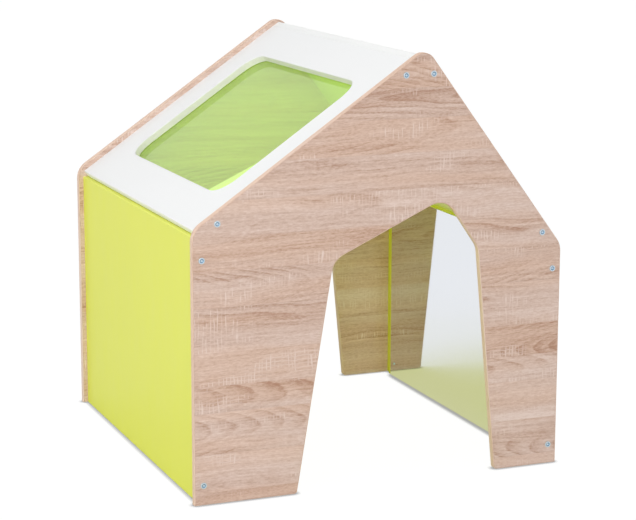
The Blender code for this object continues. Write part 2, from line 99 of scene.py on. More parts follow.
def linear(red: int, green: int, blue: int) -> Colour:
    """Turn a screen colour into the linear one that shaders take, by the sRGB curve.

    Args:
        red: Red from 0 to 255.
        green: Green from 0 to 255.
        blue: Blue from 0 to 255.

    Returns:
        The linear red, green and blue from 0 to 1.
    """

    def one(level: int) -> float:
        """Turn one channel."""
        share = level / 255
        return share / 12.92 if share <= 0.04045 else ((share + 0.055) / 1.055) ** 2.4

    return one(red), one(green), one(blue)


@dataclass(frozen=True)
class Pattern:
    """A noise, as cycles to the metre along X, Y and Z.

    As patches it runs from least to 1, between the values low and high. In the oak's tone it
    has a weight.
    """

    scales: Triple
    octaves: float = 2.0
    roughness: float = 0.5
    low: float = 0.0
    high: float = 1.0
    least: float = 0.0
    weight: float = 1.0


class Graph:
    """A node tree being built, with a short method for each kind of node used here."""

    def __init__(self, tree: bpy.types.NodeTree) -> None:
        """Keep the material's, the group's or the world's tree."""
        self.tree = tree

    def add(self, kind: str, **settings: object) -> bpy.types.Node:
        """Add a node.

        Args:
            kind: The node's type name, without its ShaderNode prefix.
            **settings: Attributes to set on it.

        Returns:
            The new node.
        """
        node = self.tree.nodes.new(f"ShaderNode{kind}")
        for name, value in settings.items():
            setattr(node, name, value)
        return node

    def feed(self, socket: Socket, value: Value) -> None:
        """Link a socket to an input, or set the input's value.

        Args:
            socket: The input.
            value: A socket, a number, a colour or a vector.
        """
        if isinstance(value, bpy.types.NodeSocket):
            self.tree.links.new(value, socket)
        elif isinstance(value, tuple) and socket.type == "RGBA":
            socket.default_value = (*value, 1.0)
        else:
            socket.default_value = value

    def fill(self, node: bpy.types.Node, values: dict[str, Value]) -> bpy.types.Node:
        """Feed several inputs of a node.

        Args:
            node: The node.
            values: What each input takes, by its name.

        Returns:
            The node.
        """
        for name, value in values.items():
            self.feed(node.inputs[name], value)
        return node

    def math(self, operation: str, *values: Value, clamp: bool = False) -> Socket:
        """Add a Math node.

        Args:
            operation: The operation's name.
            *values: Its inputs in order.
            clamp: Whether the result is kept from 0 to 1.

        Returns:
            The result.
        """
        node = self.add("Math", operation=operation, use_clamp=clamp)
        for socket, value in zip(node.inputs, values):
            self.feed(socket, value)
        return node.outputs[0]

    def plus(self, first: Value, second: Value) -> Socket:
        """Add two values."""
        return self.math("ADD", first, second)

    def times(self, first: Value, second: Value) -> Socket:
        """Multiply two values."""
        return self.math("MULTIPLY", first, second)

    def centred(self, value: Value) -> Socket:
        """Take a half from a value that lies around a half."""
        return self.math("SUBTRACT", value, 0.5)

    def ramp(
        self, value: Value, low: float, high: float, start: float = 0.0, end: float = 1.0
    ) -> Socket:
        """Map a range smoothly onto another and clamp it.

        Args:
            value: What is mapped.
            low: The value that becomes start.
            high: The value that becomes end.
            start: The first result.
            end: The last result.

        Returns:
            The mapped value.
        """
        node = self.add("MapRange", interpolation_type="SMOOTHSTEP")
        ends = {"From Min": low, "From Max": high, "To Min": start, "To Max": end}
        return self.fill(node, {"Value": value, **ends}).outputs[0]

    def mix(self, share: Value, first: Value, second: Value, blend: str = "MIX") -> Socket:
        """Mix two colours.

        Args:
            share: How much of the second one.
            first: The first colour.
            second: The second colour.
            blend: The blend mode.

        Returns:
            The mixed colour.
        """
        node = self.add("Mix", data_type="RGBA", blend_type=blend)
        self.fill(node, {"Factor": share, "A": first, "B": second})
        return next(out for out in node.outputs if out.type == "RGBA")

    def shade(self, tint: Value, share: Value) -> Socket:
        """Scale a colour.

        Args:
            tint: The colour.
            share: What it is multiplied by.

        Returns:
            The scaled colour.
        """
        node = self.add("VectorMath", operation="SCALE")
        self.feed(node.inputs[0], tint)
        return self.fill(node, {"Scale": share}).outputs[0]

    def noise(self, place: Socket, pattern: Pattern) -> Socket:
        """Add a noise with its own scale along each axis.

        Args:
            place: The coordinates, in metres.
            pattern: The noise's numbers.

        Returns:
            The noise, around a half.
        """
        stretch = self.fill(self.add("Mapping"), {"Vector": place, "Scale": pattern.scales})
        numbers = {"Scale": 1.0, "Detail": pattern.octaves, "Roughness": pattern.roughness}
        node = self.fill(self.add("TexNoise"), {**numbers, "Vector": stretch.outputs[0]})
        return node.outputs[0]

    def patches(self, place: Socket, pattern: Pattern) -> Socket:
        """Turn a noise into patches with soft edges."""
        return self.ramp(self.noise(place, pattern), pattern.low, pattern.high, pattern.least)

    def vector(self, *values: Value) -> Socket:
        """Join X, Y and Z into a vector.

        Args:
            *values: The three values.

        Returns:
            The vector.
        """
        node = self.add("CombineXYZ")
        for socket, value in zip(node.inputs, values):
            self.feed(socket, value)
        return node.outputs[0]

    def split(self, vector: Socket) -> tuple[Socket, Socket, Socket]:
        """Split a vector into X, Y and Z.

        Args:
            vector: The vector.

        Returns:
            Its three values.
        """
        node = self.add("SeparateXYZ")
        self.feed(node.inputs[0], vector)
        return tuple(node.outputs)

    def rays(self, *kinds: str) -> Socket:
        """Tell rays of some kinds from all others.

        Args:
            *kinds: The kinds, as Light Path names them.

        Returns:
            1 for a ray of one of these kinds, else 0.
        """
        path = self.add("LightPath")
        found = [path.outputs[f"Is {kind} Ray"] for kind in kinds]
        return reduce(lambda first, second: self.math("MAXIMUM", first, second), found)

    def put_out(self, share: Socket, first: Socket, second: Socket) -> None:
        """Mix two shaders into the material's output.

        Args:
            share: How much of the second one.
            first: The first shader.
            second: The second shader.
        """
        blend = self.add("MixShader")
        for socket, value in zip(blend.inputs, (share, first, second)):
            self.feed(socket, value)
        output = next(node for node in self.tree.nodes if node.type == "OUTPUT_MATERIAL")
        self.fill(output, {"Surface": blend.outputs[0]})


class Effect:
    """A shader node group that more than one finish uses.

    It takes the surface's place, and puts out its colour, roughness and the relief's height.
    """

    outputs = {
        "Color": "NodeSocketColor",
        "Roughness": "NodeSocketFloat",
        "Height": "NodeSocketFloat",
    }

    def __init__(self, name: str, inputs: dict[str, float | Colour]) -> None:
        """Make the group and its sockets.

        Args:
            name: The group's name.
            inputs: The starting value of each input, a number or a colour, besides Place.
        """
        self.group = bpy.data.node_groups.new(name, "ShaderNodeTree")
        add_socket = self.group.interface.new_socket
        add_socket("Place", in_out="INPUT", socket_type="NodeSocketVector")
        for title, value in inputs.items():
            if isinstance(value, tuple):
                socket = add_socket(title, in_out="INPUT", socket_type="NodeSocketColor")
                socket.default_value = (*value, 1.0)
            else:
                socket = add_socket(title, in_out="INPUT", socket_type="NodeSocketFloat")
                socket.default_value = value
        for title, kind in self.outputs.items():
            add_socket(title, in_out="OUTPUT", socket_type=kind)
        self.graph = Graph(self.group)
        self.given = self.group.nodes.new("NodeGroupInput").outputs
        self.result = self.group.nodes.new("NodeGroupOutput")

    def put_out(self, colour: Socket, roughness: Socket, height: Socket) -> None:
        """Feed the group's outputs."""
        self.graph.fill(self.result, dict(zip(self.outputs, (colour, roughness, height))))

    def place(self, graph: Graph, **values: Value) -> Sockets:
        """Place the group in a material.

        Args:
            graph: The material's graph.
            **values: Its inputs, with underscores for the spaces in their names.

        Returns:
            The group's outputs by name.
        """
        node = graph.add("Group", node_tree=self.group)
        graph.fill(node, {name.replace("_", " ").title(): value for name, value in values.items()})
        return {out.name: out for out in node.outputs}


@dataclass(frozen=True)
class Planks:
    """What the oak print knows of its planks at each point of the surface.

    The draws are three numbers of the plank's own. The log place is the point's place in the
    log that the plank was cut from, and the grain is that place along the swaying grain.
    """

    x: Socket
    z: Socket
    draws: tuple[Socket, Socket, Socket]
    from_middle: Socket
    seam: Socket
    sway: Socket
    log_place: Socket
    grain: Socket


@dataclass(frozen=True)
class SawLines:
    """Fine lines of a saw: how far they wander, in radians, and which part of a wave shows."""

    wander: float
    low: float
    high: float


@dataclass(frozen=True)
class OakPrint:
    """The printed oak of the gables: planks along X with figure, fibres and saw marks."""

    # A plank's usual height, and the colours
    plank: float = 0.085
    light: Colour = linear(234, 214, 204)
    body: Colour = linear(215, 188, 173)
    dark: Colour = linear(182, 144, 123)
    warm: Colour = (1.0, 0.952, 0.90)

    # Planks: the seam's width is a share of a plank, the shifts part their stretches of the log
    unevenness: float = 0.55
    seam_width: float = 0.03
    seam_darkness: float = 0.07
    log_shifts: Triple = (9.0, 5.0, 3.0)
    sway: Pattern = Pattern((2.2, 1.0, 5.0))
    sway_reach: float = 0.055

    # Figure: where the log's heart lies behind a plank, and the rings round it
    heart_shift: float = 0.06
    heart_nearest: float = 0.010
    heart_spread: float = 0.030
    log_taper: float = 0.55
    ripple: Pattern = Pattern((14.0, 2.0, 60.0), roughness=0.55)
    ripple_reach: float = 0.007
    ring_pitch: float = 0.0125
    ring_power: float = 1.7
    ring_peak: float = 0.82
    figured: Pattern = Pattern((1.5, 1.0, 11.0), 1.0, low=0.46, high=0.66, least=0.06)

    # Tone
    tone_middle: float = 0.58
    pores: Pattern = Pattern((105.0, 4.0, 400.0), roughness=0.6, weight=0.95)
    fibres: Pattern = Pattern((6.0, 2.0, 220.0), 3.0, 0.65, weight=0.85)
    bands: Pattern = Pattern((1.4, 1.0, 30.0), 3.0, 0.62, weight=0.90)
    clouds: Pattern = Pattern((1.1, 1.0, 8.0), 1.0, weight=0.50)
    plank_weight: float = 0.16
    figure_weight: float = 0.50
    warmed: Pattern = Pattern((0.9, 1.0, 13.0), roughness=0.55, low=0.40, high=0.62)

    # Saw marks: lines across the grain, and on some planks along it too
    saw_pitch: float = 0.0092
    sawn: Pattern = Pattern((5.0, 1.0, 19.0), low=0.53, high=0.66)
    saw_jitter: Pattern = Pattern((42.0, 1.0, 7.0), roughness=0.6)
    saw_worn: Pattern = Pattern((95.0, 1.0, 30.0), 1.0, low=0.36, high=0.58)
    teeth: SawLines = SawLines(16.0, 0.45, 1.0)
    cross_teeth: SawLines = SawLines(6.0, 0.20, 0.95)
    cross_planks: Pair = (0.4, 0.6)
    cross_share: float = 0.6
    saw_paleness: float = 0.9

    # Roughness and relief
    roughness_middle: float = 0.52
    roughness_by_tone: float = -0.08
    roughness_by_saw: float = 0.06
    pore_relief: float = 0.5
    figure_relief: float = 0.4
    saw_relief: float = 0.3

    def build(self) -> Effect:
        """Build the effect.

        Returns:
            The effect.
        """
        inputs = {"Plank": self.plank, "Seed": 0.0, "Figure": 1.0, "Saw Marks": 1.0}
        colours = {"Light": self.light, "Body": self.body, "Dark": self.dark, "Warm": self.warm}
        effect = Effect("planked_oak", {**inputs, **colours})
        g, given = effect.graph, effect.given
        planks = self.lay(effect)
        figure = g.times(self.draw_figure(g, planks), given["Figure"])
        pores = g.noise(planks.grain, self.pores)
        tone = self.add_tones(g, planks, pores, figure)
        saw = g.times(self.draw_saw_marks(g, planks), given["Saw Marks"])

        # The tone's lower half runs from dark to body, and its upper half from body to light
        darker = g.mix(g.math("MULTIPLY", tone, 2.0, clamp=True), given["Dark"], given["Body"])
        lighter = g.math("MULTIPLY_ADD", tone, 2.0, -1.0, clamp=True)
        colour = g.mix(lighter, darker, given["Light"])
        warmth = g.patches(planks.grain, self.warmed)
        colour = g.mix(warmth, colour, given["Warm"], blend="MULTIPLY")
        colour = g.mix(g.times(saw, self.saw_paleness), colour, given["Light"])
        colour = g.mix(g.times(planks.seam, self.seam_darkness), colour, given["Dark"])
        rough = g.math("MULTIPLY_ADD", tone, self.roughness_by_tone, self.roughness_middle)
        rough = g.plus(rough, g.times(saw, self.roughness_by_saw))
        hollows = g.times(figure, self.figure_relief)
        relief = g.math("SUBTRACT", g.times(pores, self.pore_relief), hollows)
        effect.put_out(colour, rough, g.plus(relief, g.times(saw, self.saw_relief)))
        return effect

    def cells(self, g: Graph, across: Socket, feature: str) -> bpy.types.Node:
        """Add the uneven row of cells that the planks are, by the height counted in planks."""
        node = g.add("TexVoronoi", voronoi_dimensions="1D", feature=feature)
        return g.fill(node, {"Scale": 1.0, "Randomness": self.unevenness, "W": across})

    def lay(self, effect: Effect) -> Planks:
        """Lay planks of uneven height, each with its own stretch of the log.

        Args:
            effect: The effect.

        Returns:
            The planks.
        """
        g, given = effect.graph, effect.given
        point = g.split(given["Place"])
        across = g.plus(g.math("DIVIDE", point[2], given["Plank"]), given["Seed"])
        cells = self.cells(g, across, "F1")
        shuffle = g.add("SeparateColor")
        g.feed(shuffle.inputs[0], cells.outputs["Color"])
        draws = tuple(shuffle.outputs[:3])
        seams = self.cells(g, across, "DISTANCE_TO_EDGE")
        seam = g.ramp(seams.outputs["Distance"], 0.0, self.seam_width, 1.0, 0.0)
        shifts = (g.times(draw, shift) for draw, shift in zip(draws, self.log_shifts))
        along, depth, height = (g.plus(axis, shift) for axis, shift in zip(point, shifts))
        log_place = g.vector(along, depth, height)
        sway = g.times(g.centred(g.noise(log_place, self.sway)), self.sway_reach)
        grain = g.vector(along, depth, g.plus(height, sway))
        cell_middle = cells.outputs["W"]
        from_middle = g.times(g.math("SUBTRACT", across, cell_middle), given["Plank"])
        return Planks(point[0], point[2], draws, from_middle, seam, sway, log_place, grain)

    def draw_figure(self, g: Graph, planks: Planks) -> Socket:
        """Draw the flat-sawn figure: a plank cuts the log's tapering rings in long arches.

        Args:
            g: The effect's graph.
            planks: The planks.

        Returns:
            The dark side of each ring, where figure shows.
        """
        first, second, third = planks.draws
        side = g.times(g.centred(second), self.heart_shift)
        side = g.plus(g.plus(planks.from_middle, side), planks.sway)
        under = g.math("MULTIPLY_ADD", third, self.heart_spread, self.heart_nearest)
        radius = g.math("SQRT", g.plus(g.times(side, side), g.times(under, under)))
        taper = g.times(g.centred(first), self.log_taper)
        ripple = g.centred(g.noise(planks.grain, self.ripple))
        rings = g.plus(radius, g.times(planks.x, taper))
        rings = g.plus(rings, g.times(ripple, self.ripple_reach))
        ring = g.math("FRACT", g.math("DIVIDE", rings, self.ring_pitch))
        late = g.times(g.math("POWER", ring, self.ring_power), g.ramp(ring, 1.0, self.ring_peak))
        return g.times(late, g.patches(planks.log_place, self.figured))

    def add_tones(self, g: Graph, planks: Planks, pores: Socket, figure: Socket) -> Socket:
        """Add up pores, fibres, bands along the grain, broad changes and the figure.

        Args:
            g: The effect's graph.
            planks: The planks.
            pores: The pores' noise.
            figure: The figure.

        Returns:
            The tone, from 0 for dark to 1 for light.
        """
        tone = g.math("MULTIPLY_ADD", g.centred(pores), self.pores.weight, self.tone_middle)
        for layer, weight in (
            (g.noise(planks.grain, self.fibres), self.fibres.weight),
            (g.noise(planks.grain, self.bands), self.bands.weight),
            (g.noise(planks.log_place, self.clouds), self.clouds.weight),
            (planks.draws[2], self.plank_weight),
        ):
            tone = g.plus(tone, g.times(g.centred(layer), weight))
        return g.math("SUBTRACT", tone, g.times(figure, self.figure_weight), clamp=True)

    def draw_saw_marks(self, g: Graph, planks: Planks) -> Socket:
        """Draw patches of fine pale lines square to the grain, as a saw leaves them.

        Some planks have lines along the grain too.

        Args:
            g: The effect's graph.
            planks: The planks.

        Returns:
            The marks.
        """
        jitter = g.noise(planks.log_place, self.saw_jitter)
        teeth = self.draw_lines(g, self.teeth, planks.x, jitter)
        teeth = g.times(teeth, g.patches(planks.log_place, self.saw_worn))
        cross = self.draw_lines(g, self.cross_teeth, planks.z, jitter)
        cross = g.times(cross, g.ramp(planks.draws[1], *self.cross_planks))
        comb = g.math("MAXIMUM", teeth, g.times(cross, self.cross_share))
        return g.times(g.patches(planks.log_place, self.sawn), comb)

    def draw_lines(self, g: Graph, lines: SawLines, axis: Socket, jitter: Socket) -> Socket:
        """Draw one set of a saw's lines.

        Args:
            g: The effect's graph.
            lines: The set.
            axis: The coordinate that they are square to.
            jitter: What makes them wander.

        Returns:
            The lines.
        """
        turns = g.times(axis, FULL_TURN / self.saw_pitch)
        wave = g.math("SINE", g.math("MULTIPLY_ADD", jitter, lines.wander, turns))
        return g.ramp(wave, lines.low, lines.high)


@dataclass(frozen=True)
class PressedSkin:
    """The fine pearl texture and faint handling marks of laminate, edging and sheets."""

    cloud: Pattern = Pattern((3.0, 3.0, 2.0), 3.0, 0.55)
    smear: Pattern = Pattern((26.0, 26.0, 9.0), 3.0, 0.6)
    smear_share: float = 0.5
    contrast: float = 2.0
    roughness_by_smear: float = 0.16
    smear_relief: float = 0.3

    def build(self) -> Effect:
        """Build the effect.

        Returns:
            The effect.
        """
        inputs = {"Tint": (0.8, 0.8, 0.8), "Variation": 0.03, "Gloss": 0.35, "Pearl": 900.0}
        effect = Effect("pressed_skin", inputs)
        g, given = effect.graph, effect.given
        cloud = g.noise(given["Place"], self.cloud)
        smear = g.noise(given["Place"], self.smear)
        pearl = g.add("TexVoronoi", feature="SMOOTH_F1")
        g.fill(pearl, {"Vector": given["Place"], "Scale": given["Pearl"]})
        spread = g.times(g.centred(cloud), given["Variation"])
        fleck = g.times(g.centred(smear), g.times(given["Variation"], self.smear_share))
        share = g.plus(1.0, g.times(g.plus(spread, fleck), self.contrast))
        rough = g.plus(given["Gloss"], g.times(g.centred(smear), self.roughness_by_smear))
        relief = g.plus(pearl.outputs["Distance"], g.times(smear, self.smear_relief))
        effect.put_out(g.shade(given["Tint"], share), rough, relief)
        return effect


@dataclass(frozen=True)
class PlatedSteel:
    """The plated look of the fasteners: fine grain and dull spots."""

    spots: Pattern = Pattern((420.0, 420.0, 420.0), 3.0, 0.6)
    grain: Pattern = Pattern((2400.0, 2400.0, 2400.0))
    spot_dark: float = 0.86
    spot_contrast: float = 0.28
    roughness_by_spot: float = 0.22
    spot_relief: float = 0.5

    def build(self) -> Effect:
        """Build the effect.

        Returns:
            The effect.
        """
        effect = Effect("plated_steel", {"Tint": (0.8, 0.8, 0.8), "Gloss": 0.25})
        g, given = effect.graph, effect.given
        spots = g.noise(given["Place"], self.spots)
        grain = g.noise(given["Place"], self.grain)
        share = g.plus(self.spot_dark, g.times(spots, self.spot_contrast))
        rough = g.plus(given["Gloss"], g.times(spots, self.roughness_by_spot))
        relief = g.plus(grain, g.times(spots, self.spot_relief))
        effect.put_out(g.shade(given["Tint"], share), rough, relief)
        return effect


@dataclass
class Effects:
    """The node groups, each built once."""

    oak: Effect = field(default_factory=OakPrint().build)
    skin: Effect = field(default_factory=PressedSkin().build)
    metal: Effect = field(default_factory=PlatedSteel().build)


def start_material(name: str) -> tuple[bpy.types.Material, Graph, bpy.types.Node]:
    """Start a material from its Principled shader.

    Args:
        name: The material's name.

    Returns:
        The material, its graph and its shader.
    """
    material = bpy.data.materials.new(name)
    material.use_nodes = True
    return material, Graph(material.node_tree), material.node_tree.nodes["Principled BSDF"]


def object_place(graph: Graph) -> Socket:
    """The surface's place in the model's frame, in metres."""
    return graph.add("TexCoord").outputs["Object"]


def wire_surface(graph: Graph, shader: bpy.types.Node, made: Sockets, relief: float) -> None:
    """Wire an effect's outputs to a shader.

    Args:
        graph: The material's graph.
        shader: Its Principled shader.
        made: The effect's outputs.
        relief: The height of the relief in metres.
    """
    bump = graph.add("Bump")
    raised = {"Strength": RELIEF_STRENGTH, "Distance": relief, "Height": made["Height"]}
    graph.fill(bump, raised)
    surface = {"Base Color": made["Color"], "Roughness": made["Roughness"]}
    graph.fill(shader, {**surface, "Normal": bump.outputs[0]})


@dataclass(frozen=True)
class OakFinish:
    """Printed oak in planks, on a board's face or, turned, on its edging."""

    name: str
    seed: float = 0.0
    plank: float = OakPrint.plank
    figure: float = 1.0
    saw_marks: float = 1.0
    light: Colour = OakPrint.light
    body: Colour = OakPrint.body
    dark: Colour = OakPrint.dark
    turned: bool = False
    relief: float = 0.00012
    shine: float = 0.12

    def make(self, effects: Effects) -> bpy.types.Material:
        """Build the material.

        Args:
            effects: The node groups.

        Returns:
            The material.
        """
        material, graph, shader = start_material(self.name)
        place = object_place(graph)
        if self.turned:
            x, y, z = graph.split(place)
            place = graph.vector(graph.plus(x, z), graph.math("SUBTRACT", x, z), y)
        made = effects.oak.place(
            graph,
            place=place,
            plank=self.plank,
            seed=self.seed,
            figure=self.figure,
            saw_marks=self.saw_marks,
            light=self.light,
            body=self.body,
            dark=self.dark,
        )
        wire_surface(graph, shader, made, self.relief)
        graph.fill(shader, {"Specular IOR Level": self.shine})
        return material


@dataclass(frozen=True)
class SkinFinish:
    """Any finish with the pressed skin's texture and marks."""

    name: str
    tint: Colour
    variation: float = 0.03
    gloss: float = 0.36
    pearl: float = 900.0

    def lay_skin(self, graph: Graph, effects: Effects) -> Sockets:
        """Place the pressed skin in a material.

        Args:
            graph: The material's graph.
            effects: The node groups.

        Returns:
            The skin's outputs.
        """
        return effects.skin.place(
            graph,
            place=object_place(graph),
            tint=self.tint,
            variation=self.variation,
            gloss=self.gloss,
            pearl=self.pearl,
        )


@dataclass(frozen=True)
class PlainFinish(SkinFinish):
    """A plain pressed laminate or edging."""

    relief: float = 0.00003
    shine: float = 0.30

    def make(self, effects: Effects) -> bpy.types.Material:
        """Build the material.

        Args:
            effects: The node groups.

        Returns:
            The material.
        """
        material, graph, shader = start_material(self.name)
        wire_surface(graph, shader, self.lay_skin(graph, effects), self.relief)
        graph.fill(shader, {"Specular IOR Level": self.shine})
        return material


@dataclass(frozen=True)
class AcrylicFinish(SkinFinish):
    """Clear fluorescent acrylic, which lets tinted light through and has a faint painted glow."""

    name: str = "green_acrylic"
    tint: Colour = (0.70, 0.985, 0.20)
    variation: float = 0.01
    gloss: float = 0.04
    pearl: float = 220.0
    marks: Pair = (-0.05, 0.15)
    marked_roughness: Pair = (0.0, 0.02)
    clearness: float = 0.98
    bending: float = 1.49
    shadow_tint: Colour = (0.86, 0.97, 0.12)
    shadow_clearness: float = 0.85
    # A steady painted glow that stands in for the acrylic's fluorescence, lit or not
    painted_fluorescent_glow_tint: Colour = (0.20, 1.0, 0.05)
    painted_fluorescent_glow: float = 0.048

    def make(self, effects: Effects) -> bpy.types.Material:
        """Build the material.

        Args:
            effects: The node groups.

        Returns:
            The material.
        """
        material, graph, shader = start_material(self.name)
        made = self.lay_skin(graph, effects)
        surface = {
            "Base Color": made["Color"],
            "Roughness": graph.ramp(made["Roughness"], *self.marks, *self.marked_roughness),
            "Transmission Weight": self.clearness,
            "IOR": self.bending,
            "Emission Color": self.painted_fluorescent_glow_tint,
            "Emission Strength": self.painted_fluorescent_glow,
        }
        graph.fill(shader, surface)
        through = graph.fill(graph.add("BsdfTransparent"), {"Color": self.shadow_tint})
        share = graph.times(graph.rays("Shadow", "Diffuse"), self.shadow_clearness)
        graph.put_out(share, shader.outputs[0], through.outputs[0])
        return material


@dataclass(frozen=True)
class MirrorFinish(SkinFinish):
    """An acrylic safety mirror with faint wiping marks."""

    name: str = "acrylic_mirror"
    tint: Colour = linear(231, 234, 239)
    variation: float = 0.008
    gloss: float = 0.05
    pearl: float = 60.0
    marks: Pair = (-0.03, 0.13)
    marked_roughness: Pair = (0.015, 0.05)

    def make(self, effects: Effects) -> bpy.types.Material:
        """Build the material.

        Args:
            effects: The node groups.

        Returns:
            The material.
        """
        material, graph, shader = start_material(self.name)
        made = self.lay_skin(graph, effects)
        rough = graph.ramp(made["Roughness"], *self.marks, *self.marked_roughness)
        graph.fill(shader, {"Base Color": made["Color"], "Roughness": rough, "Metallic": 1.0})
        return material


@dataclass(frozen=True)
class PlatedFinish:
    """Plated steel for bolts and screws."""

    name: str
    tint: Colour
    gloss: float = 0.22
    relief: float = 0.00002

    def make(self, effects: Effects) -> bpy.types.Material:
        """Build the material.

        Args:
            effects: The node groups.

        Returns:
            The material.
        """
        material, graph, shader = start_material(self.name)
        place = object_place(graph)
        made = effects.metal.place(graph, place=place, tint=self.tint, gloss=self.gloss)
        wire_surface(graph, shader, made, self.relief)
        graph.fill(shader, {"Metallic": 1.0})
        return material


def dress(nodes: dict[str, bpy.types.Object], name: str, material: bpy.types.Material) -> None:
    """Give a node of the model its finish.

    Args:
        nodes: The model's nodes.
        name: The node's name.
        material: Its material.
    """
    mesh = nodes[name].data
    mesh.materials.clear()
    mesh.materials.append(material)
    log.info("dressed %s with %s", name, material.name)


def mesh_points(node: bpy.types.Object) -> list[Vector]:
    """The different corners of a node's mesh.

    Args:
        node: The node.

    Returns:
        Its corners in the model's frame, each once.
    """
    corners = (node.matrix_world @ corner.co for corner in node.data.vertices)
    seen = {tuple(round(value, POINT_DIGITS) for value in corner) for corner in corners}
    return [Vector(point) for point in sorted(seen)]


def middle_of(points: list[Vector]) -> Vector:
    """The mean of some points."""
    return sum(points, Vector()) / len(points)


def broad_normal(node: bpy.types.Object) -> Vector:
    """Which way the broad side of a board or sheet looks: the upward or +X one of its two.

    Args:
        node: The board's or sheet's node.

    Returns:
        The side's normal.
    """
    normal = max(node.data.polygons, key=lambda face: face.area).normal.copy()
    leading = normal.x if abs(normal.z) <= UPRIGHT else normal.z
    return -normal if leading < 0.0 else normal


def add_object(name: str, data: bpy.types.ID) -> bpy.types.Object:
    """Add an object to the scene.

    Args:
        name: Its name.
        data: Its mesh, light or camera.

    Returns:
        The object.
    """
    added = bpy.data.objects.new(name, data)
    bpy.context.scene.collection.objects.link(added)
    return added


def close_mesh(skin: bmesh.types.BMesh, name: str, *coats: bpy.types.Material) -> bpy.types.Mesh:
    """Turn a closed skin into a mesh, smooth but for its sharp edges.

    Args:
        skin: The skin, which is used up.
        name: The mesh's name.
        *coats: Its materials.

    Returns:
        The mesh.
    """
    bmesh.ops.recalc_face_normals(skin, faces=skin.faces[:])
    mesh = bpy.data.meshes.new(name)
    skin.to_mesh(mesh)
    skin.free()
    mesh.polygons.foreach_set("use_smooth", [True] * len(mesh.polygons))
    mesh.set_sharp_from_angle(angle=SHARP_ANGLE)
    for coat in coats:
        mesh.materials.append(coat)
    return mesh


def stand_in(node: bpy.types.Object, mesh: bpy.types.Mesh, place: Matrix) -> None:
    """Put a finer piece in the place of a plain one.

    Args:
        node: The plain one.
        mesh: The finer one's mesh, whose name the piece takes.
        place: Where it stands in the model's frame.
    """
    piece = add_object(mesh.name, mesh)
    piece.matrix_world = place
    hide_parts(node.name)
    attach(piece, "root")
    log.info("made %s", mesh.name)


@dataclass(frozen=True)
class EdgingStrip:
    """A glued strip of edging on a board's straight end, with its two outer corners rounded."""

    corner: float = 0.0015
    arc_steps: int = 6
    glue_reach: float = 0.00025

    def profile(self, width: Pair, depth: Pair) -> list[Pair]:
        """The strip's section.

        Args:
            width: Where it starts and ends across the board's thickness.
            depth: Where it starts, at the board, and ends.

        Returns:
            The section's corners in turn.
        """
        left, right = width
        inner, outer = depth[0] - self.glue_reach, depth[1]
        points = [(left, inner), (right, inner)]
        quarter = math.pi / 2
        for centre, start in ((right - self.corner, 0.0), (left + self.corner, quarter)):
            for step in range(self.arc_steps + 1):
                angle = start + quarter * step / self.arc_steps
                across = centre + self.corner * math.cos(angle)
                points.append((across, outer - self.corner + self.corner * math.sin(angle)))
        return points

    def build(
        self,
        board: bpy.types.Object,
        strip: bpy.types.Object,
        coat: bpy.types.Material,
        slot: str,
    ) -> None:
        """Put a finely rounded strip in the place of the plain one.

        Args:
            board: The board that carries it.
            strip: The plain strip.
            coat: The strip's finish.
            slot: Not used.
        """
        flat = broad_normal(board)
        along = Vector((0.0, 1.0, 0.0))
        points = mesh_points(strip)
        out = flat.cross(along)
        if (middle_of(points) - middle_of(mesh_points(board))).dot(out) < 0.0:
            out = -out
        width, depth, length = (
            (min(point.dot(axis) for point in points), max(point.dot(axis) for point in points))
            for axis in (flat, out, along)
        )
        section = self.profile(width, depth)
        skin = bmesh.new()
        ends = [
            [skin.verts.new(flat * side + out * high + along * place) for side, high in section]
            for place in length
        ]
        for step in range(len(section)):
            after = (step + 1) % len(section)
            skin.faces.new((ends[0][step], ends[0][after], ends[1][after], ends[1][step]))
        for end in ends:
            skin.faces.new(end)
        mesh = close_mesh(skin, f"{strip.name}_rounded", coat)
        stand_in(strip, mesh, Matrix())


@dataclass
class Gable:
    """One gable board with its strips of edging."""

    way: Way
    seed: float
    strips: tuple[str, ...] = (
        "gable_edging",
        "door_edging",
        "left_foot_edging",
        "right_foot_edging",
    )
    edging_shift: float = 3.3
    edging: OakFinish = OakFinish(
        "edging_oak",
        plank=0.040,
        figure=0.5,
        saw_marks=0.0,
        light=linear(236, 214, 199),
        body=linear(226, 200, 184),
        dark=linear(198, 164, 145),
        turned=True,
    )

    @property
    def name(self) -> str:
        """The gable's name in the model."""
        return self.way.name.lower()

    def dress(self, nodes: dict[str, bpy.types.Object], effects: Effects) -> None:
        """Dress the board and its strips.

        Args:
            nodes: The model's nodes.
            effects: The node groups.
        """
        board = OakFinish(f"{self.name}_gable_oak", seed=self.seed)
        dress(nodes, f"{self.name}_gable", board.make(effects))
        title = f"{self.name}_{self.edging.name}"
        edging = replace(self.edging, name=title, seed=self.seed + self.edging_shift)
        strip = edging.make(effects)
        for kind in self.strips:
            dress(nodes, f"{self.name}_{kind}", strip)


@dataclass
class BoardPair:
    """Two like boards, each with a strip of edging at its lower and at its upper end."""

    names: tuple[str, ...]
    board: PlainFinish
    edge: PlainFinish
    edge_slot: str
    strip: EdgingStrip = EdgingStrip()

    def dress_boards(
        self, nodes: dict[str, bpy.types.Object], effects: Effects
    ) -> tuple[bpy.types.Material, bpy.types.Material]:
        """Dress the boards and round their strips.

        Args:
            nodes: The model's nodes.
            effects: The node groups.

        Returns:
            The boards' finish and the strips'.
        """
        board, edge = self.board.make(effects), self.edge.make(effects)
        for name in self.names:
            dress(nodes, name, board)
            for level in Level:
                strip = nodes[f"{name}_{level.value}_edging"]
                self.strip.build(nodes[name], strip, edge, self.edge_slot)
        return board, edge


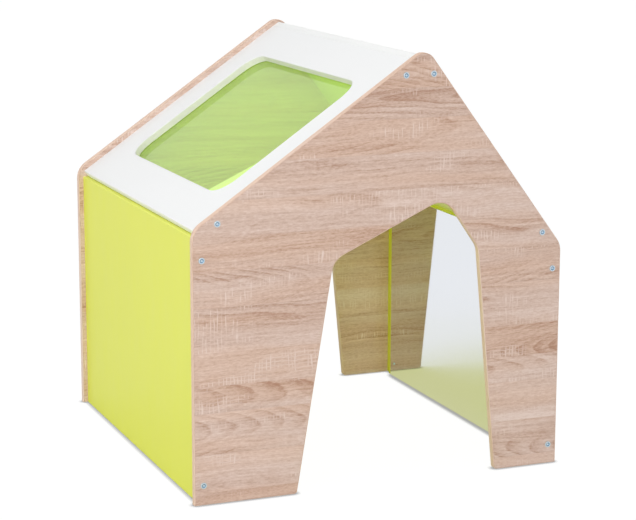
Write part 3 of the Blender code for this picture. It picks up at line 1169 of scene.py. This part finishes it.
@dataclass
class SideWalls(BoardPair):
    """The two lime walls with their edging, and the mirror on its backing board."""

    names: tuple[str, ...] = ("left_wall", "right_wall")
    board: PlainFinish = PlainFinish(
        "lime_laminate", linear(229, 234, 92), variation=0.02, gloss=0.42, shine=0.22
    )
    edge: PlainFinish = PlainFinish(
        "lime_edging",
        linear(234, 240, 112),
        variation=0.01,
        gloss=0.50,
        relief=0.000005,
        shine=0.15,
    )
    edge_slot: str = "lime_edging"

    def dress(self, nodes: dict[str, bpy.types.Object], effects: Effects) -> None:
        """Dress walls, strips and mirror.

        Args:
            nodes: The model's nodes.
            effects: The node groups.
        """
        board, _ = self.dress_boards(nodes, effects)
        dress(nodes, "mirror_backing", board)
        dress(nodes, "mirror_sheet", MirrorFinish().make(effects))


@dataclass
class Roof(BoardPair):
    """The two white roof boards with their edging, and the window."""

    names: tuple[str, ...] = ("left_roof", "right_roof")
    board: PlainFinish = PlainFinish(
        "white_laminate", linear(241, 242, 242), variation=0.006, gloss=0.38
    )
    edge: PlainFinish = PlainFinish(
        "white_edging",
        linear(243, 244, 243),
        variation=0.004,
        gloss=0.45,
        relief=0.000005,
        shine=0.20,
    )
    edge_slot: str = "white_edging"

    def dress(self, nodes: dict[str, bpy.types.Object], effects: Effects) -> None:
        """Dress boards, strips, the window's edging and its pane.

        Args:
            nodes: The model's nodes.
            effects: The node groups.
        """
        _, edge = self.dress_boards(nodes, effects)
        dress(nodes, "window_edging", edge)
        dress(nodes, "window_pane", AcrylicFinish().make(effects))


@dataclass(frozen=True)
class Fastener:
    """A turned fastener: a head with a recess, and a shank. Its head's top is at z = 0."""

    head_radius: float
    head_height: float
    shank_radius: float
    tip: float
    steps: int = 48
    soft: float = 0.0003
    # Whether the recess's floor keeps the plain plate instead of the painted shade of its walls
    bright_floor: bool = False

    def circle(self, radius: float, level: float) -> Ring:
        """A round ring of some radius at some height."""
        return self.outline(level, lambda angle: radius)

    def outline(self, level: float, reach: Callable[[float], float]) -> Ring:
        """A ring whose radius depends on the angle.

        Args:
            level: Its height.
            reach: Gives the radius at an angle.

        Returns:
            The ring's points.
        """
        points = []
        for step in range(self.steps):
            angle = FULL_TURN * step / self.steps
            radius = reach(angle)
            points.append((radius * math.cos(angle), radius * math.sin(angle), level))
        return points

    def recess(self) -> list[Ring]:
        """The rings of the recess, from its floor up to the head's face."""
        return []

    def crown(self) -> list[Ring]:
        """The rings of the head's outside, from the recess to its underside."""
        return []

    def shank(self, length: float) -> list[Ring]:
        """The rings of the shank.

        Args:
            length: The whole fastener's length.

        Returns:
            The rings, down to the tip.
        """
        under = -self.head_height
        return [
            self.circle(self.shank_radius + self.soft, under),
            self.circle(self.shank_radius, under - self.soft),
            self.circle(self.shank_radius, self.tip - length),
            self.circle(max(self.shank_radius - self.tip, self.soft), -length),
        ]

    def mesh(self, name: str, length: float, *coats: bpy.types.Material) -> bpy.types.Mesh:
        """Build the closed mesh.

        Args:
            name: The mesh's name.
            length: The whole fastener's length.
            *coats: The finish of its skin, and the darker one of its recess, which paints shade
                    there.

        Returns:
            The mesh.
        """
        recess = self.recess()
        rings = recess + self.crown() + self.shank(length)
        skin = bmesh.new()
        rows = [[skin.verts.new(point) for point in ring] for ring in rings]
        # The recess's walls take the second coat, a darker plate that paints shade into the
        # recess, and so does its floor unless bright_floor
        floor = skin.faces.new(rows[0])
        floor.material_index = 0 if self.bright_floor else 1
        for level, (upper, lower) in enumerate(zip(rows, rows[1:])):
            for step in range(self.steps):
                after = (step + 1) % self.steps
                face = skin.faces.new((upper[step], lower[step], lower[after], upper[after]))
                face.material_index = 1 if level + 1 < len(recess) else 0
        skin.faces.new(list(reversed(rows[-1])))
        return close_mesh(skin, name, *coats)


@dataclass(frozen=True)
class SocketBolt(Fastener):
    """A connector bolt with a flat head, and a hexagon socket in a shallow dish.

    The chamfer's bow is its middle ring, as shares of its width and of its depth.
    """

    head_radius: float = 0.0076
    head_height: float = 0.0024
    shank_radius: float = 0.003
    tip: float = 0.0008
    chamfer: float = 0.0007
    chamfer_bow: Pair = (0.35, 0.25)
    across_flats: float = 0.005
    socket_depth: float = 0.0019
    socket_draft: float = 0.97
    dish_radius: float = 0.0050
    dish_depth: float = 0.0004
    bright_floor: bool = True

    def hexagon(self, level: float, share: float = 1.0) -> Ring:
        """A hexagonal ring.

        Args:
            level: Its height.
            share: Its size beside the socket's own.

        Returns:
            The ring's points.
        """
        flat = self.across_flats / 2 * share
        sixth = math.radians(60)
        return self.outline(level, lambda angle: flat / math.cos(angle % sixth - sixth / 2))

    def recess(self) -> list[Ring]:
        """The socket's rings, and the dish's.

        Returns:
            The rings, from the socket's floor up.
        """
        corner = self.across_flats / 2 / math.cos(math.radians(30))
        return [
            self.hexagon(-self.socket_depth, self.socket_draft),
            self.hexagon(-2 * self.dish_depth),
            self.circle(corner + self.soft, -self.dish_depth),
            self.circle(self.dish_radius, 0.0),
        ]

    def crown(self) -> list[Ring]:
        """The head's rings, with a rounded chamfer.

        Returns:
            The rings, from the dish to the underside.
        """
        rim, cut = self.head_radius, self.chamfer
        inward, down = self.chamfer_bow
        return [
            self.circle(rim - cut, 0.0),
            self.circle(rim - inward * cut, -down * cut),
            self.circle(rim, -cut),
            self.circle(rim, self.soft - self.head_height),
            self.circle(rim - self.soft, -self.head_height),
        ]


@dataclass(frozen=True)
class PanScrew(Fastener):
    """A pan head screw with a cross recess.

    The dome gives each of its rings as a share of the head's radius and of its height.
    """

    head_radius: float = 0.0035
    head_height: float = 0.0024
    shank_radius: float = 0.00175
    tip: float = 0.002
    arm_reach: float = 0.0019
    arm_width: float = 0.0008
    cross_depth: float = 0.0013
    cross_floor: float = 0.45
    cross_top: float = 0.0002
    crown_top: float = 0.0001
    crown_share: float = 0.60
    dome: tuple[Pair, ...] = ((0.82, 0.16), (0.95, 0.38), (1.0, 0.68))

    def cross(self, level: float, share: float) -> Ring:
        """A ring in the shape of a cross.

        Args:
            level: Its height.
            share: Its size beside the recess's own.

        Returns:
            The ring's points.
        """
        half = self.arm_width / 2

        def reach(angle: float) -> float:
            """The cross's radius at an angle."""
            nearest = max(min(abs(math.sin(angle)), abs(math.cos(angle))), TINY)
            return min(self.arm_reach, half / nearest) * share

        return self.outline(level, reach)

    def recess(self) -> list[Ring]:
        """The cross's rings, from its floor up."""
        floor = self.cross(-self.cross_depth, self.cross_floor)
        return [floor, self.cross(-self.cross_top, 1.0)]

    def crown(self) -> list[Ring]:
        """The head's domed rings.

        Returns:
            The rings, from the recess to the underside.
        """
        rim, high = self.head_radius, self.head_height
        return [
            self.circle(self.crown_share * rim, -self.crown_top),
            *(self.circle(share * rim, -fall * high) for share, fall in self.dome),
            self.circle(rim, self.soft - high),
            self.circle(rim - self.soft, -high),
        ]


@dataclass
class Fasteners:
    """The bolts through the gables and the screws of pane and mirror, each turned anew."""

    boards: tuple[str, ...] = ("left_wall", "right_wall", "left_roof", "right_roof")
    pane_screws: int = 10
    mirror_screws: int = 4
    bolt: SocketBolt = SocketBolt()
    screw: PanScrew = PanScrew()
    plate: PlatedFinish = PlatedFinish("zinc_plate", linear(204, 217, 226))
    # Painted shade: this darker, bluer plate stands in for the shade inside socket, dish and cross
    recess_shade_finish: PlatedFinish = PlatedFinish("zinc_recess", linear(124, 152, 174), gloss=0.34)

    def build(self, nodes: dict[str, bpy.types.Object], effects: Effects) -> None:
        """Put a finely turned fastener in the place of each plain one.

        Args:
            nodes: The model's nodes.
            effects: The node groups.
        """
        coats = (self.plate.make(effects), self.recess_shade_finish.make(effects))
        for board in self.boards:
            for way in Way:
                for level in Level:
                    node = nodes[f"{board}_{way.name.lower()}_{level.value}_bolt"]
                    self.turn(node, self.bolt, Vector((0.0, way.value, 0.0)), *coats)
        inward = -broad_normal(nodes["window_pane"])
        for number in range(self.pane_screws):
            self.turn(nodes[f"pane_screw_{number + 1}"], self.screw, inward, *coats)
        inward = Vector((-1.0, 0.0, 0.0))
        for number in range(self.mirror_screws):
            self.turn(nodes[f"mirror_screw_{number + 1}"], self.screw, inward, *coats)

    def turn(
        self, node: bpy.types.Object, kind: Fastener, way: Vector, *coats: bpy.types.Material
    ) -> None:
        """Build one fastener over a plain one.

        Args:
            node: The plain one.
            kind: The fine one's shape.
            way: Which way its head looks.
            *coats: The finish of its skin, and the darker one of its recess, which paints shade
                    there.
        """
        points = mesh_points(node)
        reach = [point.dot(way) for point in points]
        middle = middle_of(points)
        top = middle + way * (max(reach) - middle.dot(way))
        mesh = kind.mesh(f"{node.name}_turned", max(reach) - min(reach), *coats)
        turned = way.to_track_quat("Z", "Y").to_matrix().to_4x4()
        stand_in(node, mesh, Matrix.Translation(top) @ turned)


@dataclass(frozen=True)
class Lamp:
    """One soft lamp that looks at the house."""

    name: str
    place: Triple
    width: float
    height: float
    power: float
    aim: Triple = (0.0, 0.0, 0.45)
    tint: Colour = WHITE
    mirrored: bool = True

    def build(self) -> None:
        """Hang the lamp."""
        data = bpy.data.lights.new(self.name, "AREA")
        data.shape = "RECTANGLE"
        data.size = self.width
        data.size_y = self.height
        data.energy = self.power
        data.color = self.tint
        lamp = add_object(self.name, data)
        lamp.location = self.place
        lamp.visible_camera = False
        lamp.visible_glossy = self.mirrored
        lamp.visible_transmission = self.mirrored
        way = Vector(self.aim) - Vector(self.place)
        lamp.rotation_euler = way.to_track_quat("-Z", "Y").to_euler()


@dataclass
class Studio:
    """The pale floor, the soft lamps and the white surroundings.

    The floor's glow is what camera, glass and mirror see of it. Within the contact reach of a
    board the glow is darkened into a painted contact shadow, and in reflections inside the house
    it takes a painted yellow tint that stands in for the light there.
    """

    floor_size: float = 30.0
    floor_drop: float = 0.0005
    floor_shade: float = 0.72
    floor_roughness: float = 0.9
    glow: float = 1.06
    seen_glow: float = 0.92
    mirrored_glow: float = 0.85
    # The painted contact shadow in the floor's glow
    contact_reach: float = 0.014
    painted_contact_shadow_depth: float = 1.25
    contact_samples: int = 12
    darkest: float = 0.40
    # The painted yellow light inside the house, in the floor's reflections
    room_reach: float = 1.0
    room_samples: int = 8
    room_openness: Pair = (0.28, 0.98)
    painted_room_light_tint: Colour = (0.71, 0.71, 0.34)
    world_level: float = 0.45
    side_fill: float = 0.48
    side_fill_from: Triple = (0.87, 0.38, 0.31)
    side_fill_spread: Pair = (0.25, 0.95)
    pane_light: float = 0.95
    pane_light_size: Pair = (0.62, 0.38)
    pane_light_tint: Colour = (1.0, 0.95, 0.02)
    pane_light_drop: float = 0.012
    lamps: tuple[Lamp, ...] = (
        Lamp("front_lamp", (-2.3, -6.0, 1.9), 2.4, 2.4, 123.0),
        Lamp("side_lamp", (-5.2, -1.2, 2.2), 2.4, 2.4, 71.0),
        Lamp("top_lamp", (-1.4, -0.8, 5.2), 2.6, 2.6, 55.0),
    )

    def build(self, pane: bpy.types.Object) -> None:
        """Build floor, world and lamps.

        Args:
            pane: The window's pane.
        """
        self.build_floor()
        self.build_world()
        for lamp in (*self.lamps, self.lamp_under(pane)):
            lamp.build()
        log.info("studio ready")

    def lamp_under(self, pane: bpy.types.Object) -> Lamp:
        """The tinted light that the pane sheds into the house.

        Args:
            pane: The window's pane.

        Returns:
            A lamp as large as the pane's clear part, just below it.
        """
        points = mesh_points(pane)
        normal = broad_normal(pane)
        middle = middle_of(points)
        lowest = min(point.dot(normal) for point in points)
        place = middle + normal * (lowest - self.pane_light_drop - middle.dot(normal))
        return Lamp(
            "pane_light",
            tuple(place),
            *self.pane_light_size,
            self.pane_light,
            aim=tuple(place - normal),
            tint=self.pane_light_tint,
            mirrored=False,
        )

    def openness(self, graph: Graph, samples: int, reach: float) -> Socket:
        """How open the space above the floor is within a reach, with 1 where all is open."""
        node = graph.add("AmbientOcclusion", samples=samples)
        return graph.fill(node, {"Distance": reach}).outputs["AO"]

    def build_floor(self) -> None:
        """A white floor that keeps the house's shadow, with a painted contact shadow in its glow
        that is darkest where the boards meet it.
        """
        flat = bmesh.new()
        bmesh.ops.create_grid(flat, x_segments=1, y_segments=1, size=self.floor_size / 2)
        mesh = bpy.data.meshes.new("studio_floor")
        flat.to_mesh(mesh)
        flat.free()
        floor = add_object("studio_floor", mesh)
        floor.location.z = -self.floor_drop
        material, graph, shader = start_material("studio_floor_white")
        white = (self.floor_shade,) * 3
        matt = {"Roughness": self.floor_roughness, "Specular IOR Level": 0.0}
        graph.fill(shader, {"Base Color": white, **matt})
        # Painted contact shadow: the glow darkens where the boards close over the floor
        contact = self.openness(graph, self.contact_samples, self.contact_reach)
        shade = graph.math("SUBTRACT", 1.0, contact)
        shade = graph.math("MULTIPLY_ADD", shade, -self.painted_contact_shadow_depth, 1.0)
        shade = graph.math("MAXIMUM", shade, self.darkest)
        # Painted light: where the mirror sees the floor inside the house, the glow takes a yellow
        # tint that stands in for the light there
        room = self.openness(graph, self.room_samples, self.room_reach)
        painted_room_light = graph.mix(graph.ramp(room, *self.room_openness), self.painted_room_light_tint, WHITE)
        glow_colour = graph.mix(graph.rays("Glossy"), WHITE, painted_room_light)
        glow = graph.add("Emission")
        graph.fill(glow, {"Color": glow_colour, "Strength": graph.times(shade, self.glow)})
        seen = graph.times(graph.rays("Camera", "Transmission"), self.seen_glow)
        mirrored = graph.times(graph.rays("Glossy"), self.mirrored_glow)
        share = graph.math("MAXIMUM", seen, mirrored)
        graph.put_out(share, shader.outputs[0], glow.outputs[0])
        mesh.materials.append(material)

    def build_world(self) -> None:
        """White surroundings, at full strength only where they are seen."""
        world = bpy.data.worlds.new("studio_surroundings")
        world.use_nodes = True
        bpy.context.scene.world = world
        graph = Graph(world.node_tree)
        seen = graph.rays("Camera", "Glossy", "Transmission")
        facing = graph.add("VectorMath", operation="DOT_PRODUCT")
        graph.feed(facing.inputs[0], graph.add("TexCoord").outputs["Generated"])
        graph.feed(facing.inputs[1], self.side_fill_from)
        facing = facing.outputs["Value"]
        side = graph.ramp(facing, *self.side_fill_spread, 0.0, self.side_fill)
        unseen = graph.plus(side, self.world_level)
        unseen = graph.times(unseen, graph.math("SUBTRACT", 1.0, seen))
        background = world.node_tree.nodes["Background"]
        graph.fill(background, {"Color": WHITE, "Strength": graph.plus(seen, unseen)})


@dataclass(frozen=True)
class ViewPoint:
    """The photograph's camera. Its angles are in degrees, its lens and sensor in millimetres."""

    place: Triple = (-1.9003, -4.7796, 1.5206)
    azimuth: float = -22.0157
    elevation: float = 11.6812
    roll: float = 0.1314
    lens: float = 114.56
    sensor: float = 36.0

    def build(self) -> None:
        """Add the camera and make it the scene's own."""
        turn = math.radians(self.azimuth)
        tilt = math.radians(self.elevation)
        level = math.cos(tilt)
        back = Vector((math.sin(turn) * level, -math.cos(turn) * level, math.sin(tilt)))
        right = Vector((math.cos(turn), math.sin(turn), 0.0))
        up = back.cross(right)
        axes = Matrix((right, up, back)).transposed().to_4x4()
        data = bpy.data.cameras.new("view_camera")
        data.lens = self.lens
        data.sensor_width = self.sensor
        camera = add_object("view_camera", data)
        roll = Matrix.Rotation(math.radians(self.roll), 4, "Z")
        camera.matrix_world = Matrix.Translation(self.place) @ axes @ roll
        bpy.context.scene.camera = camera
        log.info("camera ready")


def main() -> None:
    """Dress the house and set the studio."""
    logging.basicConfig(level=logging.INFO, format="%(name)s: %(message)s")
    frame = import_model()
    nodes = frame["nodes"]
    ViewPoint().build()
    effects = Effects()
    for gable in (Gable(Way.FRONT, seed=0.37), Gable(Way.REAR, seed=5.81)):
        gable.dress(nodes, effects)
    SideWalls().dress(nodes, effects)
    Roof().dress(nodes, effects)
    Fasteners().build(nodes, effects)
    Studio().build(nodes["window_pane"])
    bpy.context.scene.view_settings.view_transform = "Standard"


if __name__ == "__main__":
    main()
